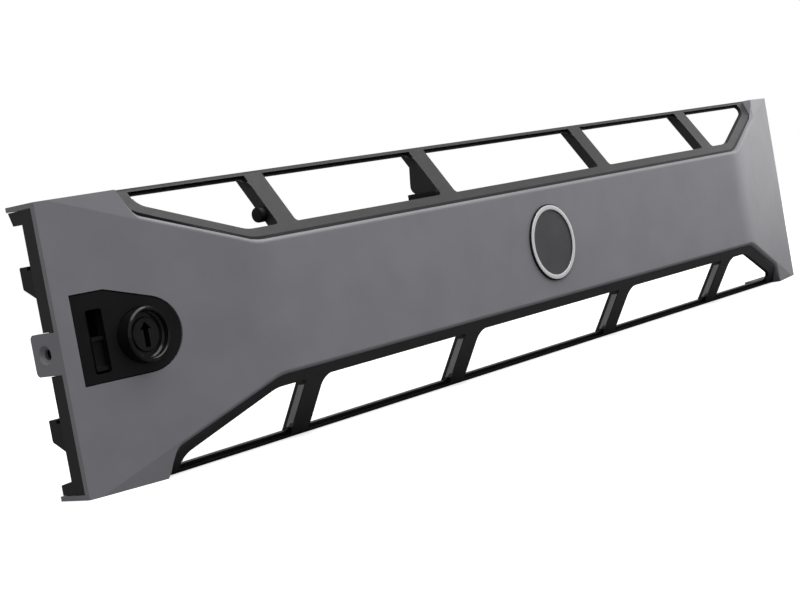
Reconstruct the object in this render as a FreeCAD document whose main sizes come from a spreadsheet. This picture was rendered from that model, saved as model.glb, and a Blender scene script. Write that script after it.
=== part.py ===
import FreeCAD, Part
import math
import os
import re
import Sketcher

# Server front bezel, 2U high: a painted moulding on a black frame, with a keylock and a release latch.
# X runs along the bezel to the right, Y back into the rack and Z up. Pieces are drawn with Y = 0 at the
# front edges of the two ends, and then moved so that the origin is the middle of the whole bezel.

SIZES = [
    # Whole bezel
    ("half_width", 222.5),
    ("half_height", 43.25),
    ("end_depth", 13.0),
    # Bow-tie front moulding
    ("bow", 18.1),
    ("crease_x", 154.0),
    ("crease_radius", 60.0),
    ("shell_wall", 1.8),
    ("waist", 21.2),
    ("waist_radius", 20.0),
    ("knee_x", 192.1),
    ("knee_z", 35.0),
    ("knee_radius", 6.0),
    ("corner_x", 197.0),
    ("return_wall", 1.45),
    ("edge_radius", 1.4),
    ("facet_outer_z", 44.6),
    ("facet_inner_x", 191.0),
    ("facet_inner_z", 33.0),
    ("facet_drop", 1.0),
    ("flank_wall", 1.7),
    ("flank_back", -1.2),
    ("flank_depth", 4.95),
    # Side tab with its countersunk hole
    ("tab_wall", 2.2),
    ("tab_bottom", -6.6),
    ("tab_top", 5.8),
    ("tab_round", 1.5),
    ("tab_hole_y", 7.7),
    ("tab_hole_z", -0.4),
    ("tab_hole_radius", 1.6),
    ("tab_sink", 1.2),
    # Inner frame
    ("web_wall", 2.0),
    ("slope_edge", -1.6),
    ("slope_bevel", 0.7),
    ("sheet_wall", 1.8),
    ("slope_depth", 4.8),
    ("rail_lip", 1.15),
    ("rail_rebate", 1.6),
    ("frame_gap", 0.2),
    ("window_low", 25.0),
    ("window_high", 40.8),
    ("sill_round", 1.2),
    ("band_round", 3.5),
    ("rail_round", 3.0),
    ("tip_round", 1.2),
    ("rib_width", 8.3),
    ("rib_inner_x", 51.4),
    ("rib_outer_x", 135.7),
    ("flare_start_x", 153.8),
    ("flare_round", 12.0),
    ("tip_knee_x", 187.4),
    ("tip_knee_z", 37.4),
    ("tip_x", 190.4),
    ("deep_web_wall", 1.6),
    ("deep_web_low", 26.6),
    ("deep_web_high", 38.6),
    ("deep_web_back_low", 0.2),
    ("deep_web_back_high", -1.6),
    ("deep_web_round", 3.0),
    ("side_wall", 1.6),
    ("side_back", 7.3),
    ("horn_z", 37.6),
    ("stiffener_wall", 1.5),
    ("stiffener_back", -10.3),
    # Screws that join the moulding and the frame
    ("band_screw_inner_x", 40.0),
    ("band_screw_outer_x", 112.0),
    ("end_screw_x", 174.0),
    ("end_screw_z", 14.0),
    ("band_boss_back", -10.3),
    ("end_boss_back", -3.9),
    ("boss_radius", 2.5),
    ("bushing_radius", 4.0),
    ("boss_bore", 1.25),
    ("screw_gap", 0.05),
    # Badge
    ("badge_radius", 13.8),
    ("badge_ring_wall", 1.45),
    ("badge_seat", 0.8),
    ("ring_bevel", 0.35),
    ("badge_ring_front", -19.0),
    ("badge_disc_front", -18.55),
    # Lock plate
    ("plate_left", -217.5),
    ("plate_top", 15.4),
    ("plate_bottom", -11.4),
    ("plate_bend_x", -207.0),
    ("plate_arc_x", -196.0),
    ("plate_arc_radius", 11.5),
    ("plate_gap", 0.1),
    ("plate_sunk", 0.2),
    ("plate_screw_a_x", -202.6),
    ("plate_screw_a_z", 11.9),
    ("plate_screw_b_x", -205.6),
    ("plate_screw_b_z", -8.9),
    # Keylock
    ("lock_x", -196.8),
    ("lock_front", -9.5),
    ("lock_head_radius", 8.25),
    ("lock_recess_radius", 7.05),
    ("lock_recess_floor", -7.0),
    ("lock_seat", -2.0),
    ("lock_body_radius", 6.0),
    ("lock_bore_radius", 5.25),
    ("lock_body_back", 8.0),
    ("lock_boss_radius", 10.0),
    ("lock_boss_back", 2.0),
    ("lock_gap", 0.15),
    ("lock_bevel", 0.5),
    ("washer_wall", 0.8),
    ("washer_radius", 8.6),
    ("nut_thick", 3.6),
    ("nut_flats", 14.0),
    ("core_radius", 5.2),
    ("core_front", -7.6),
    ("core_tail_back", 10.3),
    ("core_tail_half", 2.2),
    ("cam_front", 8.7),
    ("cam_wall", 1.6),
    ("cam_reach", 14.5),
    ("cam_width", 8.0),
    ("key_width", 2.0),
    ("key_height", 7.6),
    ("key_depth", 9.0),
    # Release slot and button
    ("slot_x", -211.0),
    ("slot_width", 5.0),
    ("slot_bottom", -8.6),
    ("slot_top", 10.2),
    ("slot_round", 0.8),
    ("button_gap", 0.2),
    ("button_bottom", -7.8),
    ("button_top", 2.2),
    ("button_front", -2.6),
    # Latch behind the left end
    ("bar_front", 3.6),
    ("bar_wall", 2.0),
    ("bar_left", -220.2),
    ("bar_arm_right", -214.4),
    ("bar_right", -206.6),
    ("bar_bottom", -33.0),
    ("bar_top", 28.0),
    ("bar_middle_bottom", -13.0),
    ("bar_seat", 18.0),
    ("hook_back", 14.8),
    ("hook_wall", 4.8),
    ("upper_hook_bottom", 14.0),
    ("upper_hook_top", 25.6),
    ("lower_hook_bottom", -31.2),
    ("lower_hook_top", -19.6),
    ("hook_ramp", 5.1),
    ("hook_notch", 1.2),
    ("cover_front", 5.8),
    ("cover_wall", 1.2),
    ("cover_left", -220.2),
    ("cover_half", 12.4),
    ("cover_ear_x", -203.0),
    ("cover_ear_z", 17.4),
    ("cover_ear_radius", 3.0),
    ("cover_right", -206.9),
    ("spring_x", -210.4),
    ("spring_y", 4.6),
    ("spring_radius", 1.8),
    ("spring_wire", 0.22),
    ("spring_turns", 7.0),
    ("spring_top", 37.0),
    ("spigot_radius", 1.1),
    ("spigot_length", 5.0),
    ("lug_wall", 1.8),
    ("lug_back", 7.2),
    ("guide_wall", 1.6),
    ("guide_low", 13.0),
    ("guide_high", 23.0),
    # Fixed hooks of the right end
    ("bracket_left", 205.0),
    ("bracket_right", 219.6),
    ("bracket_half", 31.0),
    ("bracket_front", 3.8),
    ("bracket_wall", 1.8),
    ("bracket_screw_x", 209.5),
    ("bracket_screw_z", 11.0),
    ("bracket_hook_z", 22.0),
    ("bracket_hook_half", 5.0),
    ("bracket_hook_x", 214.6),
    # Small screws
    ("screw_shank", 1.1),
    ("screw_head", 2.3),
    ("screw_head_high", 1.4),
    ("small_shank", 0.8),
    ("small_head", 1.5),
    ("small_head_high", 1.0),
]

NAMES = {name for name, size in SIZES}

# From the ends' front edges to the middle of the depth, between the badge's front and the hooks' tips
MIDDLE = "-1 * (hook_back + badge_ring_front) / 2"

doc = FreeCAD.newDocument("ServerBezel")
sheet = doc.addObject("Spreadsheet::Sheet", "Sizes")
for row, (name, size) in enumerate(SIZES, start=1):
    sheet.set("A%d" % row, name)
    sheet.set("B%d" % row, str(size))
    sheet.setAlias("B%d" % row, name)
doc.recompute()


def linked(text):
    """A sum of sizes, each one named as a cell of the sheet."""
    return re.sub(r"[a-z_]+", lambda word: "Sizes." + word[0] if word[0] in NAMES else word[0], str(text))


def worth(text):
    """What a sum of sizes comes to, in millimetres."""
    return float(sheet.evalExpression(str(text)))


def signed(side, text):
    """A sum of sizes on one side of the middle: 1 for right or upper, -1 for left or lower."""
    return "%d * (%s)" % (side, text)


def new_body(name):
    body = doc.addObject("PartDesign::Body", name)
    body.Label = name
    return body


def sketch_on(body, role, name, height="0"):
    """An empty sketch on one of the body's own planes, moved along that plane's normal."""
    plane = [item for item in body.Origin.OriginFeatures if item.Role == role][0]
    sketch = body.newObject("Sketcher::SketchObject", name)
    sketch.AttachmentSupport = [(plane, "")]
    sketch.MapMode = "FlatFace"
    sketch.setExpression("AttachmentOffset.Base.z", linked(height))
    return sketch


def place(sketch, item, position, x, y):
    """Ties a point of the sketch to the origin by two sizes."""
    for kind, text in (("DistanceX", x), ("DistanceY", y)):
        index = sketch.addConstraint(Sketcher.Constraint(kind, -1, 1, item, position, worth(text)))
        sketch.setExpression("Constraints[%d]" % index, linked(text))


def counterclockwise_arc(sketch, start, middle, end):
    """An arc through three points, and which of its ends is the first and which the last of them."""
    if (middle - start).cross(end - middle).z > 0:
        return sketch.addGeometry(Part.Arc(start, middle, end)), 1, 2
    return sketch.addGeometry(Part.Arc(end, middle, start)), 2, 1


def outline(sketch, corners):
    """A closed outline through the corners (x, y) or (x, y, radius of the rounding)."""
    points = [FreeCAD.Vector(worth(corner[0]), worth(corner[1]), 0) for corner in corners]
    count = len(points)
    starts, ends, middles = [], [], []
    for index, corner in enumerate(corners):
        point = points[index]
        if len(corner) == 2:
            starts.append(point)
            ends.append(point)
            middles.append(None)
            continue
        radius = worth(corner[2])
        before = (points[index - 1] - point).normalize()
        after = (points[(index + 1) % count] - point).normalize()
        half = before.getAngle(after) / 2
        inward = (before + after).normalize()
        starts.append(point + before * (radius / math.tan(half)))
        ends.append(point + after * (radius / math.tan(half)))
        middles.append(point + inward * (radius / math.sin(half) - radius))
    lines = []
    for index in range(count):
        segment = Part.LineSegment(ends[index], starts[(index + 1) % count])
        lines.append(sketch.addGeometry(segment))
    for index, corner in enumerate(corners):
        into, out_of = lines[index - 1], lines[index]
        if middles[index] is None:
            sketch.addConstraint(Sketcher.Constraint("Coincident", into, 2, out_of, 1))
            place(sketch, out_of, 1, corner[0], corner[1])
            continue
        arc, first, last = counterclockwise_arc(sketch, starts[index], middles[index], ends[index])
        vertex = sketch.addGeometry(Part.Point(points[index]), True)
        place(sketch, vertex, 1, corner[0], corner[1])
        sketch.addConstraint(Sketcher.Constraint("PointOnObject", vertex, 1, into))
        sketch.addConstraint(Sketcher.Constraint("PointOnObject", vertex, 1, out_of))
        sketch.addConstraint(Sketcher.Constraint("Tangent", into, 2, arc, first))
        sketch.addConstraint(Sketcher.Constraint("Tangent", arc, last, out_of, 1))
        rounding = sketch.addConstraint(Sketcher.Constraint("Radius", arc, worth(corner[2])))
        sketch.setExpression("Constraints[%d]" % rounding, linked(corner[2]))


def rectangle(sketch, left, right, low, high, rounding=None):
    corners = [(left, low), (right, low), (right, high), (left, high)]
    if rounding:
        corners = [corner + (rounding,) for corner in corners]
    outline(sketch, corners)


def circle(sketch, x, y, radius):
    middle = FreeCAD.Vector(worth(x), worth(y), 0)
    ring = sketch.addGeometry(Part.Circle(middle, FreeCAD.Vector(0, 0, 1), worth(radius)))
    place(sketch, ring, 3, x, y)
    index = sketch.addConstraint(Sketcher.Constraint("Radius", ring, worth(radius)))
    sketch.setExpression("Constraints[%d]" % index, linked(radius))


def many_sided(sketch, x, y, radius, sides=8):
    """A plain many-sided post or hole, for what is hidden behind the bezel."""
    corners = []
    for index in range(sides):
        angle = (index + 0.5) * 360 / sides
        across = "(%s) + (%s) * cos(%s)" % (x, radius, angle)
        corners.append((across, "(%s) + (%s) * sin(%s)" % (y, radius, angle)))
    outline(sketch, corners)


def feature(kind, body, sketch, name, length, side, backward):
    step = body.newObject("PartDesign::" + kind, name)
    step.Profile = sketch
    step.SideType = side
    step.Reversed = backward
    step.setExpression("Length", linked(length))
    sketch.Visibility = False
    doc.recompute()
    return step


def pad(body, sketch, name, length, side="One side", backward=False):
    return feature("Pad", body, sketch, name, length, side, backward)


def pocket(body, sketch, name, length, side="Symmetric", backward=False):
    """Cuts the sketch out, and stops if nothing was cut."""
    before = body.Shape.Volume
    step = feature("Pocket", body, sketch, name, length, side, backward)
    if body.Shape.Volume > before - 1e-3:
        raise RuntimeError(name + " cuts nothing")
    return step


def edge_names(shape, wanted):
    """The names of a shape's edges that pass a test."""
    return ["Edge%d" % (index + 1) for index, edge in enumerate(shape.Edges) if wanted(edge)]


def round_edges(body, name, radius, wanted, kind="Fillet"):
    base = body.Tip
    step = body.newObject("PartDesign::" + kind, name)
    step.Base = (base, edge_names(base.Shape, wanted))
    step.setExpression("Radius" if kind == "Fillet" else "Size", linked(radius))
    doc.recompute()
    return step


def turned(name, profile, x="0", z="0"):
    """A turned piece: profile corners are (radius, y), spun about an axis along Y."""
    body = new_body(name)
    sketch = sketch_on(body, "XY_Plane", name + "_profile")
    outline(sketch, profile)
    spin = body.newObject("PartDesign::Revolution", name + "_turned")
    spin.Profile = sketch
    spin.ReferenceAxis = (sketch, ["V_Axis"])
    spin.Angle = 360
    body.setExpression("Placement.Base.x", linked(x))
    body.setExpression("Placement.Base.z", linked(z))
    doc.recompute()
    return body


def screw_group(name, seats, shank, head, head_high):
    """Like screws along Y, heads to the back: each seat is x, y under the head, z and shank length."""
    screws = []
    for index, (x, y, z, length) in enumerate(seats):
        rod = doc.addObject("Part::Prism", "%s_rod_%d" % (name, index))
        rod.Polygon = 8
        rod.setExpression("Circumradius", linked(shank))
        rod.setExpression("Height", linked("%s + %s / 2" % (length, head_high)))
        cap = doc.addObject("Part::Prism", "%s_head_%d" % (name, index))
        cap.Polygon = 12
        cap.setExpression("Circumradius", linked(head))
        cap.setExpression("Height", linked(head_high))
        for item, start in ((rod, "(%s) - (%s)" % (y, length)), (cap, y)):
            item.Placement.Rotation = FreeCAD.Rotation(FreeCAD.Vector(1, 0, 0), -90)
            item.setExpression("Placement.Base.x", linked(x))
            item.setExpression("Placement.Base.y", linked(start))
            item.setExpression("Placement.Base.z", linked(z))
        screw = doc.addObject("Part::Fuse", "%s_%d" % (name, index))
        screw.Base = rod
        screw.Tool = cap
        screws.append(screw)
    group = doc.addObject("Part::Compound", name)
    group.Links = screws
    group.Label = name
    doc.recompute()
    return group


def end_front(x):
    """How far back the sloped end of the moulding's front is at x, right of the crease."""
    return "-bow + bow * (%s - crease_x) / (half_width - crease_x)" % x


def bent_line(depth, reach, radius):
    """The bezel's bent front line at a depth behind the front, from left to right."""
    end = "%s + %s" % (end_front(reach), depth)
    return [
        ("-1 * (%s)" % reach, end),
        ("-crease_x", "-bow + %s" % depth, radius),
        ("crease_x", "-bow + %s" % depth, radius),
        (reach, end),
    ]


def waist_outline(sketch, upper):
    """Everything outside the bow-tie on one long side, with the rounded knees."""
    outer = signed(upper, "half_height + 1")
    slant = "(corner_x + (corner_x - knee_x) / (half_height - knee_z))"
    outline(
        sketch,
        [
            (signed(-1, slant), outer),
            ("-knee_x", signed(upper, "knee_z"), "knee_radius"),
            ("-crease_x", signed(upper, "waist"), "waist_radius"),
            ("crease_x", signed(upper, "waist"), "waist_radius"),
            ("knee_x", signed(upper, "knee_z"), "knee_radius"),
            (slant, outer),
        ],
    )


# Front moulding: one bent, painted wall in a bow-tie outline, with returns at both ends
def front_shell():
    body = new_body("front_shell")
    plan = sketch_on(body, "XY_Plane", "shell_plan")
    front = bent_line("0", "half_width", "crease_radius")
    back = bent_line("shell_wall", "half_width", "crease_radius - shell_wall")
    outline(plan, front + back[::-1])
    pad(body, plan, "shell_wall_pad", "2 * half_height", "Symmetric")

    for upper in (1, -1):
        waist = sketch_on(body, "XZ_Plane", "shell_waist_%s" % ("upper" if upper > 0 else "lower"))
        waist_outline(waist, upper)
        pocket(body, waist, waist.Name + "_cut", "4 * bow")

    def front_rim(edge):
        middle = edge.valueAt((edge.FirstParameter + edge.LastParameter) / 2)
        x = abs(middle.x)
        depth = worth(end_front(str(x))) if x > worth("crease_x") else -worth("bow")
        on_front = abs(middle.y - depth) < 0.45
        on_waist = abs(middle.z) < worth("half_height") - 0.2 and x < worth("corner_x")
        upright = abs(edge.tangentAt(edge.FirstParameter).z) > 0.999
        return on_front and on_waist and not upright

    round_edges(body, "shell_waist_round", "edge_radius", front_rim)

    for upper in (1, -1):
        label = "upper" if upper > 0 else "lower"
        height = "half_height - return_wall" if upper > 0 else "-half_height"
        returns = sketch_on(body, "XY_Plane", "shell_returns_" + label, height)
        for side in (1, -1):
            outline(
                returns,
                [
                    (signed(side, "half_width"), "shell_wall / 2"),
                    (signed(side, "half_width"), "end_depth"),
                    (signed(side, "corner_x"), "end_depth"),
                    (signed(side, "corner_x"), end_front("corner_x") + " + shell_wall / 2"),
                ],
            )
        pad(body, returns, "shell_returns_%s_pad" % label, "return_wall")

    flanks(body)
    facets(body)

    tab = sketch_on(body, "YZ_Plane", "tab_outline", "-half_width")
    outline(
        tab,
        [
            ("shell_wall / 2", "tab_bottom"),
            ("end_depth", "tab_bottom", "tab_round"),
            ("end_depth", "tab_top", "tab_round"),
            ("shell_wall / 2", "tab_top"),
        ],
    )
    pad(body, tab, "tab_pad", "tab_wall")
    hole = sketch_on(body, "YZ_Plane", "tab_hole", "-half_width")
    circle(hole, "tab_hole_y", "tab_hole_z", "tab_hole_radius")
    pocket(body, hole, "tab_hole_cut", "4 * tab_wall")
    left = -worth("half_width")

    def hole_mouth(edge):
        ring = edge.Curve.TypeId == "Part::GeomCircle"
        outside = edge.BoundBox.XMax < left + 0.1
        return ring and outside and abs(edge.Curve.Radius - worth("tab_hole_radius")) < 1e-3

    round_edges(body, "tab_countersink", "tab_sink", hole_mouth, "Chamfer")

    opening = sketch_on(body, "XZ_Plane", "lock_plate_opening")
    plate_outline(opening, "0")
    pocket(body, opening, "lock_plate_opening_cut", "4 * bow")

    badge = sketch_on(body, "XZ_Plane", "badge_seat_ring", "bow")
    circle(badge, "0", "0", "badge_radius + plate_gap")
    pocket(body, badge, "badge_seat_cut", "badge_seat", "One side")

    for name, seats, depth in screw_seats():
        for index, (x, z) in enumerate(seats):
            tower = sketch_on(body, "XZ_Plane", "shell_boss_%s_%d" % (name, index), "-1 * (%s)" % depth)
            many_sided(tower, x, z, "boss_radius")
            front = "-bow" if name == "band" else end_front("end_screw_x")
            pad(body, tower, tower.Name + "_pad", "%s - (%s) - shell_wall / 2" % (depth, front))
            bore = sketch_on(body, "XZ_Plane", "shell_bore_%s_%d" % (name, index), "-1 * (%s)" % depth)
            many_sided(bore, x, z, "boss_bore")
            pocket(body, bore, bore.Name + "_cut", "5", "One side", True)
    return body


def flank_strip(sketch, side, upper, start, inward, outward):
    """A strip along the steep end of the bow-tie, from past the knee to the top or bottom corner."""
    x = "knee_x + %s * (corner_x - knee_x)" % start
    z = signed(upper, "knee_z + %s * (half_height - knee_z)" % start)
    end = signed(upper, "half_height")
    outline(
        sketch,
        [
            (signed(side, x + " - (%s)" % inward), z),
            (signed(side, "corner_x - (%s)" % inward), end),
            (signed(side, "corner_x + %s" % outward), end),
            (signed(side, x + " + " + outward), z),
        ],
    )


def flanks(body):
    """Side walls under the steep ends of the bow-tie, which reach back to the sloping sheets."""
    strips = sketch_on(body, "XZ_Plane", "flank_strips", "-1 * (flank_back)")
    for side in (1, -1):
        for upper in (1, -1):
            flank_strip(strips, side, upper, "0.25", "0", "flank_wall")
    pad(body, strips, "flank_pad", "flank_depth")


def facets(body):
    """The four corner facets, where the ends' outer corners fall back a little."""
    corner = FreeCAD.Vector(worth("half_width"), 0, worth("facet_outer_z"))
    low = FreeCAD.Vector(worth("facet_inner_x"), worth(end_front("facet_inner_x")), worth("facet_inner_z"))
    top_depth = worth(end_front("corner_x")) + worth("facet_drop")
    top = FreeCAD.Vector(worth("corner_x"), top_depth, worth("half_height"))
    long_side, thick = 60.0, 12.0
    for side in (1, -1):
        for upper in (1, -1):
            def there(point):
                return FreeCAD.Vector(side * point.x, point.y, upper * point.z)
            along = (there(corner) - there(low)).normalize()
            across = (there(top) - there(low)).normalize()
            outward = along.cross(across).normalize()
            if outward.y > 0:
                outward = outward * -1
            third = outward.cross(along).normalize()
            turn = FreeCAD.Rotation(along, third, outward, "XYZ")
            box = body.newObject("PartDesign::SubtractiveBox", "corner_facet")
            box.Length = long_side
            box.Width = long_side
            box.Height = thick
            middle = there(low) - along * (long_side / 3) - third * (long_side / 2)
            plane = [item for item in body.Origin.OriginFeatures if item.Role == "XY_Plane"][0]
            box.AttachmentSupport = [(plane, "")]
            box.MapMode = "FlatFace"
            box.AttachmentOffset = FreeCAD.Placement(middle, turn)
            doc.recompute()


def screw_seats():
    """Where moulding and frame are screwed together: the band's row, then two at each end."""
    band = [(signed(side, x), "0") for x in ("band_screw_inner_x", "band_screw_outer_x") for side in (1, -1)]
    ends = [(signed(side, "end_screw_x"), signed(up, "end_screw_z")) for side in (1, -1) for up in (1, -1)]
    return [("band", band, "band_boss_back"), ("end", ends, "end_boss_back")]


def plate_outline(sketch, inset):
    """The lock plate's D shape: straight on the left, round about the lock on the right."""
    left = "plate_left + %s" % inset
    top = "plate_top - %s" % inset
    bottom = "plate_bottom + %s" % inset
    radius = worth("plate_arc_radius - %s" % inset)
    centre = FreeCAD.Vector(worth("plate_arc_x"), 0, 0)
    bend = FreeCAD.Vector(worth("plate_bend_x"), worth(top), 0)
    away = centre - bend
    swing = math.asin(radius / away.Length)
    heading = math.atan2(away.y, away.x) + swing
    run = math.sqrt(away.Length ** 2 - radius ** 2)
    touch = bend + FreeCAD.Vector(math.cos(heading), math.sin(heading), 0) * run
    rightmost = centre + FreeCAD.Vector(radius, 0, 0)
    lowest = centre + FreeCAD.Vector(0, worth(bottom), 0)
    corners = [
        FreeCAD.Vector(worth(left), worth(bottom), 0),
        FreeCAD.Vector(worth(left), worth(top), 0),
        bend,
        touch,
    ]
    lines = [
        sketch.addGeometry(Part.LineSegment(corners[0], corners[1])),
        sketch.addGeometry(Part.LineSegment(corners[1], corners[2])),
        sketch.addGeometry(Part.LineSegment(corners[2], corners[3])),
        sketch.addGeometry(Part.LineSegment(lowest, corners[0])),
    ]
    arc, first, last = counterclockwise_arc(sketch, touch, rightmost, lowest)
    place(sketch, lines[0], 1, left, bottom)
    place(sketch, lines[1], 1, left, top)
    place(sketch, lines[2], 1, "plate_bend_x", top)
    place(sketch, lines[3], 1, "plate_arc_x", bottom)
    place(sketch, arc, 3, "plate_arc_x", "0")
    for before, after in ((0, 1), (1, 2), (3, 0)):
        sketch.addConstraint(Sketcher.Constraint("Coincident", lines[before], 2, lines[after], 1))
    sketch.addConstraint(Sketcher.Constraint("Tangent", lines[2], 2, arc, first))
    sketch.addConstraint(Sketcher.Constraint("Coincident", arc, last, lines[3], 1))


# Inner frame: one black moulding, a web behind the bow-tie and sloping sheets with the windows
def inner_frame():
    body = new_body("inner_frame")
    plan = sketch_on(body, "XY_Plane", "web_plan")
    reach = "half_width - 2 * frame_gap"
    web_back = "shell_wall + web_wall"
    front = bent_line("shell_wall", reach, "crease_radius - shell_wall")
    back = bent_line(web_back, reach, "crease_radius - shell_wall - web_wall")
    outline(plan, front + back[::-1])
    pad(body, plan, "web_pad", "2 * (half_height - return_wall - frame_gap)", "Symmetric")

    slopes = sketch_on(body, "YZ_Plane", "slope_profile")
    for upper in (1, -1):
        outline(
            slopes,
            [
                (sheet_front("waist"), signed(upper, "waist")),
                (sheet_front("half_height - slope_bevel"), signed(upper, "half_height - slope_bevel")),
                ("slope_edge + slope_bevel", signed(upper, "half_height")),
                ("slope_edge + slope_depth", signed(upper, "half_height")),
                (sheet_front("window_high") + " + slope_depth", signed(upper, "window_high")),
                (sheet_front("window_high") + " + sheet_wall", signed(upper, "window_high")),
                (sheet_front("waist") + " + sheet_wall", signed(upper, "waist")),
            ],
        )
    pad(body, slopes, "slope_pad", "2 * (corner_x - frame_gap)", "Symmetric")

    frame_bosses(body)
    frame_side_walls(body)
    frame_latch_guides(body)
    frame_stiffeners(body)
    frame_trims(body)
    frame_windows(body)
    frame_ribs(body)
    frame_rebates(body)
    frame_holes(body)
    return body


def sheet_front(z):
    """How far back the front of a sloping sheet is at a height above or below the middle."""
    return "-bow + shell_wall + (slope_edge + bow - shell_wall) * (%s - waist) / (half_height - waist)" % z


def frame_bosses(body):
    """Bushings round the screws, the lock's seat and the screw posts of cover and hooks."""
    towers = []
    for name, seats, depth in screw_seats():
        towers += [(x, z, "bushing_radius", depth, "6") for x, z in seats]
    towers.append(("lock_x", "0", "lock_boss_radius", "lock_boss_back", "7"))
    for up in (1, -1):
        towers.append(("cover_ear_x", signed(up, "cover_ear_z"), "boss_radius", "cover_front", "9"))
        foot = signed(up, "bracket_screw_z")
        towers.append(("bracket_screw_x", foot, "boss_radius + 0.5", "bracket_front", "7"))
    for index, (x, z, radius, depth, length) in enumerate(towers):
        tower = sketch_on(body, "XZ_Plane", "frame_boss_%d" % index, "-1 * (%s)" % depth)
        shape = circle if x == "lock_x" else many_sided
        shape(tower, x, z, radius)
        pad(body, tower, tower.Name + "_pad", length)


def frame_side_walls(body):
    """A thin upright wall at each end, with a horn under each return of the moulding."""
    top = "half_height - return_wall - frame_gap"
    for side in (1, -1):
        start = "half_width - 2 * frame_gap"
        height = start + " - side_wall" if side > 0 else "-1 * (%s)" % start
        wall = sketch_on(body, "YZ_Plane", "side_wall_%s" % ("right" if side > 0 else "left"), height)
        outline(
            wall,
            [
                ("shell_wall", "-1 * (%s)" % top),
                ("end_depth - 0.8", "-1 * (%s)" % top),
                ("end_depth - 0.8", "-horn_z - 1"),
                ("side_back", "-horn_z"),
                ("side_back", "horn_z"),
                ("end_depth - 1.6", "horn_z"),
                ("end_depth - 0.2", top),
                ("shell_wall", top),
            ],
        )
        pad(body, wall, wall.Name + "_pad", "side_wall")


def frame_latch_guides(body):
    """Walls that the latch bar slides along, and the lug that holds the spring."""
    guides = sketch_on(body, "XZ_Plane", "latch_guides", "-1 * (bar_front + bar_wall)")
    left = "bar_right + frame_gap"
    rectangle(guides, left, left + " + guide_wall", "guide_low", "guide_high")
    arm = "bar_arm_right + frame_gap"
    rectangle(guides, arm, arm + " + guide_wall", "bar_bottom - 1", "bar_bottom + 9")
    pad(body, guides, "latch_guides_pad", "8")
    lug = sketch_on(body, "XZ_Plane", "spring_lug", "-1 * (lug_back)")
    rectangle(lug, "spring_x - 4", "spring_x + 4", "spring_top", "spring_top + lug_wall")
    pad(body, lug, "spring_lug_pad", "9")
    spigot = sketch_on(body, "XY_Plane", "spring_spigot", "spring_top - spigot_length")
    circle(spigot, "spring_x", "spring_y", "spigot_radius")
    pad(body, spigot, "spring_spigot_pad", "spigot_length + lug_wall / 2")


def frame_stiffeners(body):
    """Moulded ribs across the back of the web."""
    ribs = sketch_on(body, "XZ_Plane", "web_stiffeners", "-1 * (stiffener_back)")
    for side in (1, -1):
        for x in ("rib_inner_x", "rib_outer_x"):
            left = signed(side, x) + " - stiffener_wall / 2"
            rectangle(ribs, left, left + " + stiffener_wall", "-waist - 1", "waist + 1")
    pad(body, ribs, "web_stiffeners_pad", "5")


def frame_trims(body):
    """Cuts back all that stands in front of the moulding's inside and of the sloping sheets."""
    plan = sketch_on(body, "XY_Plane", "front_trim")
    line = bent_line("shell_wall", "half_width + 10", "crease_radius - shell_wall")
    outline(plan, line + [("half_width + 10", "-3 * bow"), ("-half_width - 10", "-3 * bow")])
    pocket(body, plan, "front_trim_cut", "3 * half_height")
    slopes = sketch_on(body, "YZ_Plane", "slope_trim")
    beyond = "half_height + 0.1 * (half_height - waist)"
    for upper in (1, -1):
        outline(
            slopes,
            [
                ("-bow + shell_wall", signed(upper, "waist")),
                ("slope_edge + 0.1 * (slope_edge + bow - shell_wall)", signed(upper, beyond)),
                ("-3 * bow", signed(upper, beyond)),
                ("-3 * bow", signed(upper, "waist")),
            ],
        )
    pocket(body, slopes, "slope_trim_cut", "2 * (corner_x - frame_gap)")


def window_spans():
    """Left and right ends of the three windows between the ribs."""
    half = "rib_width / 2"
    middle = ("-rib_inner_x + " + half, "rib_inner_x - " + half)
    right = ("rib_inner_x + " + half, "rib_outer_x - " + half)
    left = ("-rib_outer_x + " + half, "-rib_inner_x - " + half)
    return [left, middle, right]


def frame_windows(body):
    """Five windows above and five below, which leave ribs of one width between them."""
    windows = sketch_on(body, "XZ_Plane", "windows")
    for upper in (1, -1):
        low = signed(upper, "window_low")
        high = signed(upper, "window_high")
        low_round = "sill_round" if upper > 0 else "band_round"
        for left, right in window_spans():
            outline(
                windows,
                [(left, low, low_round), (right, low, "sill_round"), (right, high, "rail_round"), (left, high)],
            )
        for side in (1, -1):
            inner = signed(side, "rib_outer_x + rib_width / 2")
            inner_low = low_round if side > 0 else "sill_round"
            rail_end = (inner, high) if side > 0 else (inner, high, "rail_round")
            outline(
                windows,
                [
                    (inner, low, inner_low),
                    (signed(side, "flare_start_x"), low, "flare_round"),
                    (signed(side, "tip_knee_x"), signed(upper, "tip_knee_z"), "knee_radius - 1"),
                    (signed(side, "tip_x"), high, "tip_round"),
                    rail_end,
                ],
            )
    pocket(body, windows, "windows_cut", "6 * bow")


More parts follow.
